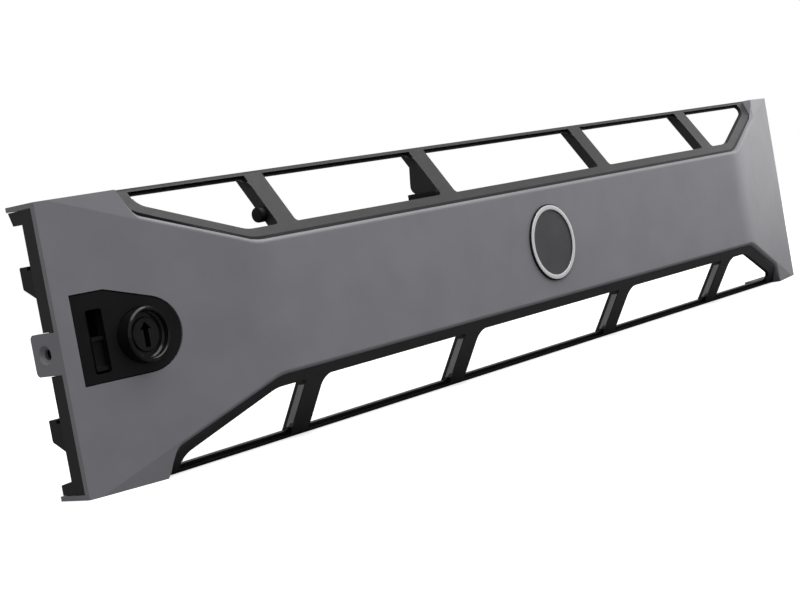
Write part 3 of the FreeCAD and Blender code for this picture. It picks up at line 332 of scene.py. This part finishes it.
# Rib lug: a round black lug on the left wall of the upper rib at the left end, moulded with the
# frame. Its free end is rounded over.
LUG_PLACE = (-140.7, -5.0, 28.9)
LUG_RADIUS, LUG_LENGTH, LUG_ROUNDING = 2.5, 3.0, 0.6


def rib_lug():
    """A cylinder with its upper end rounded, then laid over so that this end points left."""
    clear_selection()
    bpy.ops.mesh.primitive_cylinder_add(
        vertices=32, radius=LUG_RADIUS * MM, depth=LUG_LENGTH * MM
    )
    lug = bpy.context.object
    bpy.ops.object.mode_set(mode="EDIT")
    mesh = bmesh.from_edit_mesh(lug.data)
    for edge in mesh.edges:
        edge.select = all(vertex.co.z > 0 for vertex in edge.verts)
    bmesh.update_edit_mesh(lug.data)
    bpy.ops.mesh.bevel(offset=LUG_ROUNDING * MM, segments=4, affect="EDGES")
    bpy.ops.object.mode_set(mode="OBJECT")
    bpy.ops.object.shade_smooth_by_angle(angle=SMOOTH_BELOW)
    lug.rotation_euler = (0, math.radians(-90), 0)
    lug.location = Vector(LUG_PLACE) * MM
    settle(lug, "rib_lug")
    lug.data.materials.append(deep_black)
    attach(lug, "bezel")


rib_lug()

# Rib highlight lands: thin flats along the left walls of the four lower ribs, coloured grey as a
# painted highlight where those black walls catch the light. They lie on the frame's moulding, and
# each follows the slope of its rib.
# Greys of the painted highlight on the black ribs' walls.
HIGHLIGHT_DARK = (0.33, 0.33, 0.33, 1)
HIGHLIGHT_LIGHT = (0.40, 0.40, 0.40, 1)
WAIST, WAIST_Y, SHEET_RISE = 21.2, -14.2, 0.6667
RIB_HALF = 4.15
LAND_TOP, LAND_FOOT = 26.6, 39.8
LAND_BEHIND, LAND_DEPTH = 0.6, 2.6
LAND_PROUD, LAND_SUNK = 0.12, 0.05
LAND_RIBS = [
    ("outer_left", -135.7),
    ("inner_left", -51.4),
    ("inner_right", 51.4),
    ("outer_right", 135.7),
]


def rib_highlight_lands():
    """One thin strip with its lower end pushed back along the slope, and a copy on each rib."""
    front = WAIST_Y + SHEET_RISE * (LAND_TOP - WAIST) + LAND_BEHIND
    slope = SHEET_RISE * (LAND_FOOT - LAND_TOP)
    low = (-LAND_PROUD, front, -LAND_FOOT)
    high = (LAND_SUNK, front + LAND_DEPTH, -LAND_TOP)
    pattern = cuboid("land_pattern", low, high)
    bpy.ops.object.mode_set(mode="EDIT")
    mesh = bmesh.from_edit_mesh(pattern.data)
    middle = (low[2] + high[2]) / 2 * MM
    for vertex in mesh.verts:
        vertex.select = vertex.co.z < middle
    mesh.select_flush_mode()
    bmesh.update_edit_mesh(pattern.data)
    bpy.ops.transform.translate(value=(0, slope * MM, 0))
    bpy.ops.object.mode_set(mode="OBJECT")
    bpy.ops.object.shade_smooth_by_angle(angle=SMOOTH_BELOW)
    pattern.data.materials.append(painted_highlight_grey)
    for label, rib_x in LAND_RIBS:
        land = bpy.data.objects.new("rib_highlight_land_" + label, pattern.data.copy())
        land.data.name = land.name
        land.data.transform(Matrix.Translation(((rib_x - RIB_HALF) * MM, 0, 0)))
        bpy.context.scene.collection.objects.link(land)
        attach(land, "bezel")
    bpy.data.objects.remove(pattern)


# The lands' grey is a painted highlight, not the colour of the black plastic.
painted_highlight_grey = moulded_black("painted_highlight_land", 0.30, HIGHLIGHT_DARK, HIGHLIGHT_LIGHT, specular=0.8)
rib_highlight_lands()

# Badge: a bright plated ring on a low black seat, pressed into the front moulding round a dark satin
# disc of plastic. The ring and its seat are turned shapes, and the disc is a plain moulding. The
# seat's deep black is partly its own black side and partly painted shade for the gap round the ring.
RING_METAL = (0.90, 0.90, 0.92, 1)
DISC_DARK = (0.060, 0.060, 0.065, 1)
DISC_LIGHT = (0.075, 0.075, 0.080, 1)
RING_INNER, RING_OUTER, SEAT_OUTER = 12.36, 14.0, 14.45
SEAT_BACK, SEAT_FRONT, SEAT_ROUNDING = -15.2, -16.70, 0.25
RING_BACK, RING_FRONT, RING_ROUNDING = -16.65, -16.90, 0.10
RING_STEPS = 128


def plated(name, colour, roughness):
    """A bright plating of one colour, its gloss a little uneven."""
    made = start_material(name, roughness, metallic=0.35, specular=0.6)
    shader = made.node_tree.nodes["Principled BSDF"]
    shader.inputs["Base Color"].default_value = colour
    vary_roughness(made, noise_on(made, scale=500, detail=3), roughness - 0.03, roughness + 0.05)
    return made


def turned_ring(name, outer, back, front, rounding, made):
    """A ring about the badge's axis, spun from a rectangle with rounded corners."""
    clear_selection()
    middle, half = (RING_INNER + outer) / 2, (back - front) / 2
    bpy.ops.mesh.primitive_plane_add(size=1, location=(0, 0, 0))
    ring = bpy.context.object
    bpy.ops.object.mode_set(mode="EDIT")
    bpy.ops.mesh.select_all(action="SELECT")
    bpy.ops.transform.resize(value=((outer - RING_INNER) * MM, 2 * half * MM, 1))
    bpy.ops.mesh.bevel(offset=rounding * MM, segments=4, affect="VERTICES")
    bpy.ops.mesh.delete(type="ONLY_FACE")
    bpy.ops.mesh.select_all(action="SELECT")
    bpy.ops.transform.rotate(
        value=math.radians(90), orient_axis="X", center_override=(0, 0, 0)
    )
    bpy.ops.transform.translate(value=(middle * MM, 0, 0))
    bpy.ops.object.mode_set(mode="OBJECT")
    spin = ring.modifiers.new("spin", "SCREW")
    spin.axis = "Z"
    spin.steps = RING_STEPS
    spin.render_steps = RING_STEPS
    spin.use_merge_vertices = True
    spin.merge_threshold = 0.00001
    apply_modifiers(ring)
    bpy.ops.object.mode_set(mode="EDIT")
    bpy.ops.mesh.select_all(action="SELECT")
    bpy.ops.mesh.normals_make_consistent(inside=False)
    bpy.ops.object.mode_set(mode="OBJECT")
    bpy.ops.object.shade_smooth_by_angle(angle=SMOOTH_BELOW)
    ring.rotation_euler = (math.radians(90), 0, 0)
    ring.location = (0, (back + front) / 2 * MM, 0)
    settle(ring, name)
    ring.data.materials.append(made)
    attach(ring, "bezel")
    return ring


# Deep black seat: partly a real black side wall, partly painted shade for the shadow gap round the
# ring.
seat_and_shadow_ring = turned_ring(
    "badge_seat_ring", SEAT_OUTER, SEAT_BACK, SEAT_FRONT, SEAT_ROUNDING, deep_black
)
bright_plating = plated("bright_plating", RING_METAL, roughness=0.30)
bright_ring = turned_ring(
    "badge_bright_ring", RING_OUTER, RING_BACK, RING_FRONT, RING_ROUNDING, bright_plating
)
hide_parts("badge_ring")
finish_node("badge_disc", moulded_black("satin_disc", 0.36, DISC_DARK, DISC_LIGHT))

# Lock plate and release button: smooth black mouldings. The plate lies flush in the left end and is
# screwed from behind, and the button slides up and down in its slot.
PLATE_BLACK = (0.003, 0.003, 0.0035, 1)
PLATE_GREY = (0.006, 0.006, 0.0065, 1)
smooth_black = moulded_black("smooth_black", 0.42, PLATE_BLACK, PLATE_GREY, specular=0.25)
for name in ("lock_plate", "release_slider"):
    finish_node(name, smooth_black)

# Keylock: a cast zinc housing with a turning core, both plated black. A zinc plated steel washer and
# nut clamp it behind the frame, and a steel cam is screwed to the core's tail.
LOCK_BLACK = (0.004, 0.004, 0.004, 1)
LOCK_GREY = (0.008, 0.008, 0.008, 1)
STEEL = (0.56, 0.56, 0.54, 1)
STEEL_SHADE = 0.82
DRAWN_OUT = (1, 0.15, 1)


def zinc_steel():
    """Zinc plated steel, its gloss drawn out along the depth as by turning."""
    made = start_material("zinc_plated_steel", roughness=0.34, metallic=1.0)
    low = tuple(STEEL_SHADE * value for value in STEEL[:3]) + (1,)
    join(made, ramp_on(made, noise_on(made, scale=400, detail=4), low, STEEL), "Base Color")
    streaks = noise_on(made, scale=900, detail=3, stretch=DRAWN_OUT)
    vary_roughness(made, streaks, low=0.26, high=0.42)
    bump_on(made, noise_on(made, scale=2500, detail=2), strength=0.08, distance=0.00003)
    return made


lock_black = moulded_black("black_plated_zinc", 0.18, LOCK_BLACK, LOCK_GREY, specular=0.35)
steel = zinc_steel()
for name in ("lock_housing", "lock_core"):
    finish_node(name, lock_black)
for name in ("lock_washer", "lock_nut", "lock_cam"):
    finish_node(name, steel)

# Latch and hooks: black mouldings behind the two ends. At the left the bar with its hooks slides
# between the frame and a screwed keeper plate, and at the right the hook bracket is screwed fast.
latch_black = moulded_black("latch_black", 0.45, FRAME_BLACK, FRAME_GREY)
for name in ("latch_bar", "latch_cover", "hook_bracket"):
    finish_node(name, latch_black)

# Latch spring: a coil of round zinc plated wire, pushed over a spigot above and standing on the bar's
# seat below. The real spring shortens as the bar rises; this coil is wound at one fixed length and
# rides on the bezel.
SHIFT = 2.1  # what is added to a measured Y, here and below, to give the frame's
COIL_X, COIL_Y, COIL_FOOT, COIL_TOP = -210.4, 4.6 + SHIFT, 18.0, 37.0
COIL_RADIUS, WIRE_RADIUS, COIL_TURNS = 1.8, 0.24, 7
COIL_HEIGHT = COIL_TOP - COIL_FOOT
TURN_STEPS = 24


def round_wire_coil():
    """A wire's circle wound up about the spring's axis, with both ends closed."""
    clear_selection()
    bpy.ops.mesh.primitive_circle_add(vertices=10, radius=WIRE_RADIUS * MM, location=(0, 0, 0))
    coil = bpy.context.object
    bpy.ops.object.mode_set(mode="EDIT")
    bpy.ops.mesh.select_all(action="SELECT")
    bpy.ops.transform.rotate(
        value=math.radians(90), orient_axis="X", center_override=(0, 0, 0)
    )
    bpy.ops.transform.translate(value=(COIL_RADIUS * MM, 0, WIRE_RADIUS * MM))
    bpy.ops.object.mode_set(mode="OBJECT")
    winding = coil.modifiers.new("winding", "SCREW")
    winding.axis = "Z"
    winding.angle = math.tau * COIL_TURNS
    winding.screw_offset = (COIL_HEIGHT - 2 * WIRE_RADIUS) * MM
    winding.steps = TURN_STEPS * COIL_TURNS
    winding.render_steps = TURN_STEPS * COIL_TURNS
    winding.use_normal_calculate = True
    apply_modifiers(coil)
    bpy.ops.object.mode_set(mode="EDIT")
    bpy.ops.mesh.select_all(action="DESELECT")
    bpy.ops.mesh.select_non_manifold()
    bpy.ops.mesh.edge_face_add()
    bpy.ops.mesh.select_all(action="SELECT")
    bpy.ops.mesh.normals_make_consistent(inside=False)
    bpy.ops.object.mode_set(mode="OBJECT")
    bpy.ops.object.shade_smooth_by_angle(angle=math.radians(50))
    coil.location = Vector((COIL_X, COIL_Y, COIL_FOOT)) * MM
    settle(coil, "latch_spring_coil")
    coil.data.materials.append(steel)
    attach(coil, "bezel")
    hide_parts("latch_spring")
    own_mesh(coil)


round_wire_coil()

# Screws: zinc plated steel with cross recesses, driven from behind. Each has a low rounded head on
# a plain shank that stands for the thread. Their heads' seats and their sizes are in millimetres.
CROSS_DEPTH, CROSS_LENGTH, CROSS_WIDTH = 0.6, 1.15, 0.30
HEAD_ROUNDING, TIP_ROUNDING = 0.45, 0.4
TURN_BETWEEN = 37
LARGE = {"head": 2.3, "high": 1.4, "shank": 1.1}
SMALL = {"head": 1.5, "high": 1.0, "shank": 0.8}
BROAD = {"head": 3.45, "high": 1.0, "shank": 0.8}
END_START, PLATE_SEAT_BEHIND = 154, 4.25


def cross_screw(head, high, shank, length):
    """One screw about the frame's origin, its head to the back, the head's seat at Y = 0."""
    clear_selection()
    bpy.ops.mesh.primitive_cylinder_add(vertices=28, radius=head * MM, depth=high * MM)
    screw = bpy.context.object
    bpy.ops.object.mode_set(mode="EDIT")
    mesh = bmesh.from_edit_mesh(screw.data)
    for edge in mesh.edges:
        edge.select = all(vertex.co.z > 0 for vertex in edge.verts)
    bpy.ops.mesh.bevel(offset=HEAD_ROUNDING * high * MM, segments=4, affect="EDGES")
    bpy.ops.mesh.select_all(action="DESELECT")
    bpy.ops.object.mode_set(mode="OBJECT")
    for turn in (0, 90):
        clear_selection()
        bpy.ops.mesh.primitive_cube_add(size=1, location=(0, 0, high / 2 * MM))
        cutter = bpy.context.object
        cutter.scale = (CROSS_LENGTH * head * MM, CROSS_WIDTH * head * MM, 2 * CROSS_DEPTH * MM)
        cutter.rotation_euler = (0, 0, math.radians(turn))
        bpy.ops.object.transform_apply(location=True, rotation=True, scale=True)
        recess = screw.modifiers.new("recess", "BOOLEAN")
        recess.operation = "DIFFERENCE"
        recess.solver = "EXACT"
        recess.object = cutter
        apply_modifiers(screw)
        bpy.data.objects.remove(cutter)
    clear_selection()
    depth = length + 0.5 * high
    bpy.ops.mesh.primitive_cylinder_add(
        vertices=16, radius=shank * MM, depth=depth * MM, location=(0, 0, -depth / 2 * MM)
    )
    rod = bpy.context.object
    bpy.ops.object.mode_set(mode="EDIT")
    mesh = bmesh.from_edit_mesh(rod.data)
    for face in mesh.faces:
        face.select = face.normal.z < -0.9
    bpy.ops.mesh.bevel(offset=TIP_ROUNDING * shank * MM, segments=2, affect="EDGES")
    bpy.ops.object.mode_set(mode="OBJECT")
    screw.select_set(True)
    bpy.context.view_layer.objects.active = screw
    bpy.ops.object.join()
    bpy.ops.object.shade_smooth_by_angle(angle=math.radians(35))
    screw.location = (0, high / 2 * MM, 0)
    screw.rotation_euler = (math.radians(-90), 0, 0)
    settle(screw, "screw_pattern")
    return screw


def screw_set(node, seats, body, size, length):
    """The screws of one node, copied from one pattern to their seats and joined in one piece.
    Each is turned a little further than the one before, as driven screws are."""
    pattern = cross_screw(length=length, **size)
    copies = []
    for index, (x, y, z) in enumerate(seats):
        screw = bpy.data.objects.new("screw_copy", pattern.data.copy())
        bpy.context.scene.collection.objects.link(screw)
        turn = Matrix.Rotation(math.radians(TURN_BETWEEN * index), 4, "Y")
        screw.matrix_world = Matrix.Translation(Vector((x, y + SHIFT, z)) * MM) @ turn
        copies.append(screw)
    bpy.data.objects.remove(pattern)
    clear_selection()
    for screw in copies:
        screw.select_set(True)
    bpy.context.view_layer.objects.active = copies[0]
    if len(copies) > 1:
        bpy.ops.object.join()
    settle(copies[0], node + "_cross_head")
    copies[0].data.materials.append(steel)
    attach(copies[0], body)
    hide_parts(node)


def behind_end(x):
    """The Y of a plate screw's seat, at one depth behind the left end's sloping face."""
    return -END_DROP + END_DROP * (-x - END_START) / END_RUN + PLATE_SEAT_BEHIND


band_seats = [(x, -10.3, 0) for x in (-112, -40, 40, 112)]
end_seats = [(x, -3.9, z) for x in (-174, 174) for z in (-14, 14)]
hook_seats = [(209.5, 5.6, z) for z in (-11, 11)]
cover_seats = [(-203, 7.0, z) for z in (-17.4, 17.4)]
plate_seats = [(x, behind_end(x), z) for x, z in ((-202.6, 11.9), (-205.6, -8.9))]
screw_set("frame_screws", band_seats + end_seats, "bezel", LARGE, length=4.6)
screw_set("hook_screws", hook_seats, "bezel", LARGE, length=5.5)
screw_set("cover_screws", cover_seats, "bezel", SMALL, length=6.0)
screw_set("slider_screw", [(-211, 5.6, -2.8)], "latch", SMALL, length=4.2)
screw_set("cam_screw", [(-196.8, 10.3, 0)], "lock", BROAD, length=4.5)
screw_set("plate_screws", plate_seats, "bezel", SMALL, length=3.2)

# Floor and light: a plain pale floor under the object, and soft studio light, strongest from above
# and from the right. Both only show the object and aren't part of it.
FLOOR_Z = -43.25 * MM
FLOOR_SIDE = 12
FLOOR_SEEN, FLOOR_UNSEEN = (0.85, 0.85, 0.85, 1), (0.20, 0.20, 0.20, 1)
FLOOR_GLOW = 0.62
WHITE = (1, 1, 1, 1)
SKY_LIGHT, SKY_SEEN = 0.45, 1.0


def floor_white():
    """White where the camera sees it, with the object's shadow, and darker in what it throws back."""
    made = bpy.data.materials.new("studio_floor")
    made.use_nodes = True
    tree = made.node_tree
    shader = tree.nodes["Principled BSDF"]
    shader.inputs["Roughness"].default_value = 0.9
    shader.inputs["Specular IOR Level"].default_value = 0.0
    shader.inputs["Emission Color"].default_value = WHITE
    path = tree.nodes.new("ShaderNodeLightPath")
    colour = tree.nodes.new("ShaderNodeMix")
    colour.data_type = "RGBA"
    colour.inputs["A"].default_value = FLOOR_UNSEEN
    colour.inputs["B"].default_value = FLOOR_SEEN
    tree.links.new(path.outputs["Is Camera Ray"], colour.inputs["Factor"])
    tree.links.new(colour.outputs["Result"], shader.inputs["Base Color"])
    glow = tree.nodes.new("ShaderNodeMath")
    glow.operation = "MULTIPLY"
    glow.inputs[1].default_value = FLOOR_GLOW
    tree.links.new(path.outputs["Is Camera Ray"], glow.inputs[0])
    tree.links.new(glow.outputs["Value"], shader.inputs["Emission Strength"])
    return made


def lamp(name, spot, target, size, power):
    """A soft lamp that looks from one point at another, both in millimetres as its sides are."""
    data = bpy.data.lights.new(name, "AREA")
    data.shape = "RECTANGLE"
    data.size, data.size_y = (side * MM for side in size)
    data.energy = power
    made = bpy.data.objects.new(name, data)
    bpy.context.scene.collection.objects.link(made)
    made.location = Vector(spot) * MM
    direction = Vector(target) - Vector(spot)
    made.rotation_mode = "QUATERNION"
    made.rotation_quaternion = direction.to_track_quat("-Z", "Y")


def studio_sky():
    """An even sky that lights the object softly and that the camera sees as plain white."""
    world = bpy.data.worlds.new("studio")
    bpy.context.scene.world = world
    world.use_nodes = True
    sky = world.node_tree
    background = sky.nodes["Background"]
    background.inputs["Color"].default_value = WHITE
    background.inputs["Strength"].default_value = SKY_LIGHT
    seen = sky.nodes.new("ShaderNodeBackground")
    seen.inputs["Color"].default_value = WHITE
    seen.inputs["Strength"].default_value = SKY_SEEN
    path = sky.nodes.new("ShaderNodeLightPath")
    blend = sky.nodes.new("ShaderNodeMixShader")
    sky.links.new(path.outputs["Is Camera Ray"], blend.inputs["Fac"])
    sky.links.new(background.outputs["Background"], blend.inputs[1])
    sky.links.new(seen.outputs["Background"], blend.inputs[2])
    sky.links.new(blend.outputs["Shader"], sky.nodes["World Output"].inputs["Surface"])


clear_selection()
bpy.ops.mesh.primitive_plane_add(size=FLOOR_SIDE, location=(0, 0, FLOOR_Z))
floor = bpy.context.object
floor.name = "studio_floor"
floor.data.materials.append(floor_white())
lamp("overhead_lamp", (100, -350, 900), (0, 0, 0), size=(1400, 700), power=9.0)
lamp("right_lamp", (900, -150, 150), (150, 0, 0), size=(500, 500), power=1.5)
studio_sky()

# Camera: a little above the object and far to its left, tilted, at the place and with the lens that
# the photograph's straight edges give.
CAMERA_PLACE = (-528.43, -386.31 + SHIFT, 24.34)
CAMERA_YAW, CAMERA_PITCH, CAMERA_ROLL = 49.76, 3.18, -10.22
CAMERA_LENS, SENSOR = 76.566, 36.0
NEAREST, FARTHEST = 0.01, 30


def photograph_camera():
    """The camera, turned by its yaw and pitch and then rolled about the way it looks."""
    yaw, pitch, roll = (math.radians(angle) for angle in (CAMERA_YAW, CAMERA_PITCH, CAMERA_ROLL))
    forward = Vector(
        (math.sin(yaw) * math.cos(pitch), math.cos(yaw) * math.cos(pitch), -math.sin(pitch))
    )
    level = Vector((math.cos(yaw), -math.sin(yaw), 0))
    upright = level.cross(forward)
    right = math.cos(roll) * level + math.sin(roll) * upright
    up = -math.sin(roll) * level + math.cos(roll) * upright
    data = bpy.data.cameras.new("photograph_camera")
    data.sensor_width = SENSOR
    data.lens = CAMERA_LENS
    data.clip_start, data.clip_end = NEAREST, FARTHEST
    made = bpy.data.objects.new("photograph_camera", data)
    bpy.context.scene.collection.objects.link(made)
    turn = Matrix((right, up, -forward)).transposed().to_4x4()
    made.matrix_world = Matrix.Translation(Vector(CAMERA_PLACE) * MM) @ turn
    return made


bpy.context.scene.camera = photograph_camera()
bpy.context.scene.view_settings.view_transform = "Standard"
